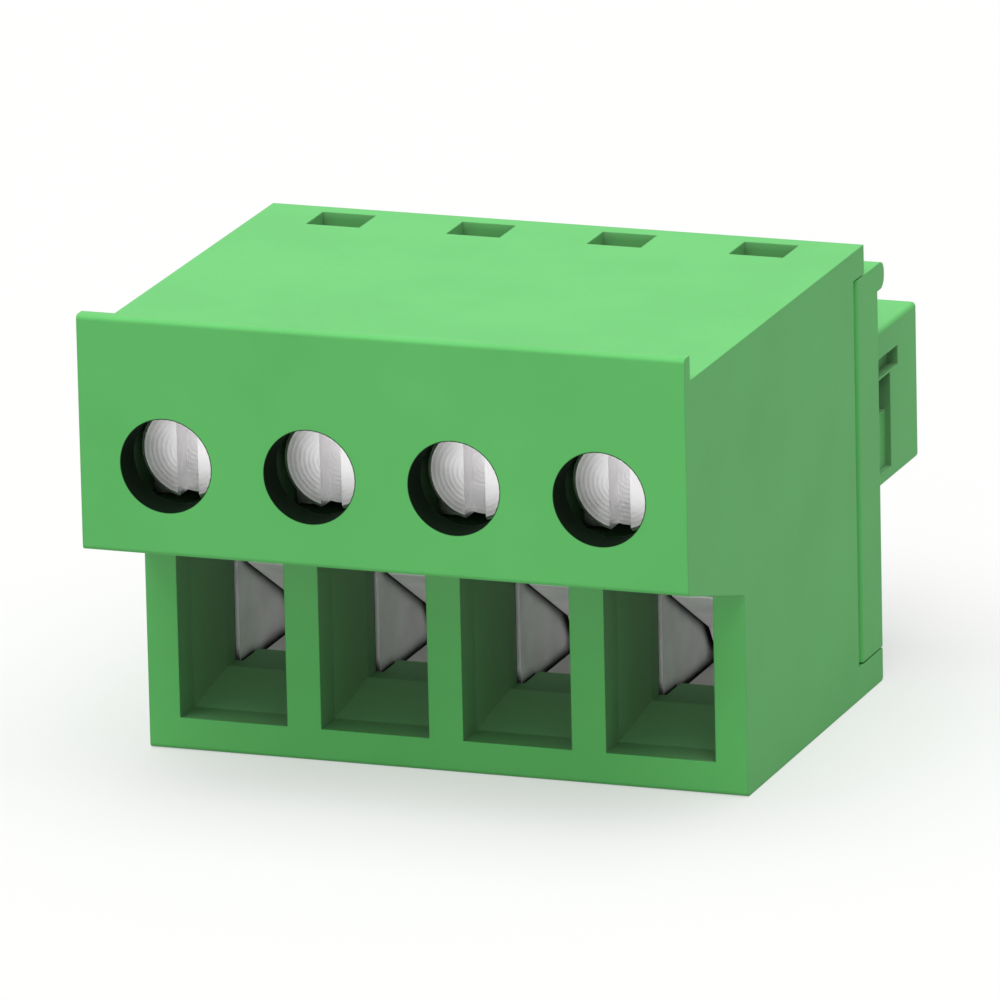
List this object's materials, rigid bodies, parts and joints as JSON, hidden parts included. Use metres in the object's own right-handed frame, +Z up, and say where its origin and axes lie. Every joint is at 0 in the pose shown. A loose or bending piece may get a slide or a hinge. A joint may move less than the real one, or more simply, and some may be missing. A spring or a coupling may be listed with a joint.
{
  "type": "pluggable terminal block plug",
  "caption": "Plug half of a pluggable terminal block: a row of wire funnels under slotted clamp screws, with wedge clamps inside and a hollow plug of pin sockets behind.",
  "frame": {"origin": "middle of the row of poles, halfway between the screw face and the end of the plug part, on the plane of the underside", "axes": "+X along the row of poles, to the right as seen from the screw face; +Y from the screw face to the plug part; +Z up, from the wire funnels to the screws"},
  "size_m": [0.016, 0.0194, 0.0124],
  "materials": {
    "housing_plastic": "moulded polyamide, fine satin texture",
    "screw_steel": "zinc plated, turned",
    "frame_steel": "nickel-plated sheet, satin",
    "jaw_steel": "nickel plated, satin",
    "nut_brass": "machined, satin",
    "contact_strip": "tin-plated copper alloy, satin"
  },
  "bodies": {
    "housing": {"main_housing": "housing_plastic", "rear_housing": "housing_plastic", "clamp_frame_1": "frame_steel", "clamp_frame_2": "frame_steel", "clamp_frame_3": "frame_steel", "clamp_frame_4": "frame_steel", "contact_1": "contact_strip", "contact_2": "contact_strip", "contact_3": "contact_strip", "contact_4": "contact_strip"},
    "screw_1": {"clamp_screw_1": "screw_steel"},
    "nut_1": {"wedge_nut_1": "nut_brass"},
    "jaw_1": {"clamp_jaw_1": "jaw_steel"},
    "screw_2": {"clamp_screw_2": "screw_steel"},
    "nut_2": {"wedge_nut_2": "nut_brass"},
    "jaw_2": {"clamp_jaw_2": "jaw_steel"},
    "screw_3": {"clamp_screw_3": "screw_steel"},
    "nut_3": {"wedge_nut_3": "nut_brass"},
    "jaw_3": {"clamp_jaw_3": "jaw_steel"},
    "screw_4": {"clamp_screw_4": "screw_steel"},
    "nut_4": {"wedge_nut_4": "nut_brass"},
    "jaw_4": {"clamp_jaw_4": "jaw_steel"}
  },
  "joints": [
    {"name": "screw_1_turn", "type": "hinge", "parent": "housing", "child": "screw_1", "pos_m": [-0.00571, -0.0082, 0.0087], "axis": [0, -1, 0], "range_deg": [0, 2160]},
    {"name": "nut_1_slide", "type": "slide", "parent": "housing", "child": "nut_1", "axis": [0, 1, 0], "range_m": [0, 0.0024]},
    {"name": "jaw_1_lift", "type": "slide", "parent": "housing", "child": "jaw_1", "axis": [0, 0, 1], "range_m": [0, 0.00169]},
    {"name": "screw_2_turn", "type": "hinge", "parent": "housing", "child": "screw_2", "pos_m": [-0.00191, -0.0082, 0.0087], "axis": [0, -1, 0], "range_deg": [0, 2160]},
    {"name": "nut_2_slide", "type": "slide", "parent": "housing", "child": "nut_2", "axis": [0, 1, 0], "range_m": [0, 0.0024]},
    {"name": "jaw_2_lift", "type": "slide", "parent": "housing", "child": "jaw_2", "axis": [0, 0, 1], "range_m": [0, 0.00169]},
    {"name": "screw_3_turn", "type": "hinge", "parent": "housing", "child": "screw_3", "pos_m": [0.00191, -0.0082, 0.0087], "axis": [0, -1, 0], "range_deg": [0, 2160]},
    {"name": "nut_3_slide", "type": "slide", "parent": "housing", "child": "nut_3", "axis": [0, 1, 0], "range_m": [0, 0.0024]},
    {"name": "jaw_3_lift", "type": "slide", "parent": "housing", "child": "jaw_3", "axis": [0, 0, 1], "range_m": [0, 0.00169]},
    {"name": "screw_4_turn", "type": "hinge", "parent": "housing", "child": "screw_4", "pos_m": [0.00571, -0.0082, 0.0087], "axis": [0, -1, 0], "range_deg": [0, 2160]},
    {"name": "nut_4_slide", "type": "slide", "parent": "housing", "child": "nut_4", "axis": [0, 1, 0], "range_m": [0, 0.0024]},
    {"name": "jaw_4_lift", "type": "slide", "parent": "housing", "child": "jaw_4", "axis": [0, 0, 1], "range_m": [0, 0.00169]}
  ],
  "couplings": [
    {"joint": "screw_1_turn", "follows": "nut_1_slide", "rad_per_m": 15708},
    {"joint": "jaw_1_lift", "follows": "nut_1_slide", "ratio": 0.7},
    {"joint": "screw_2_turn", "follows": "nut_2_slide", "rad_per_m": 15708},
    {"joint": "jaw_2_lift", "follows": "nut_2_slide", "ratio": 0.7},
    {"joint": "screw_3_turn", "follows": "nut_3_slide", "rad_per_m": 15708},
    {"joint": "jaw_3_lift", "follows": "nut_3_slide", "ratio": 0.7},
    {"joint": "screw_4_turn", "follows": "nut_4_slide", "rad_per_m": 15708},
    {"joint": "jaw_4_lift", "follows": "nut_4_slide", "ratio": 0.7}
  ]
}
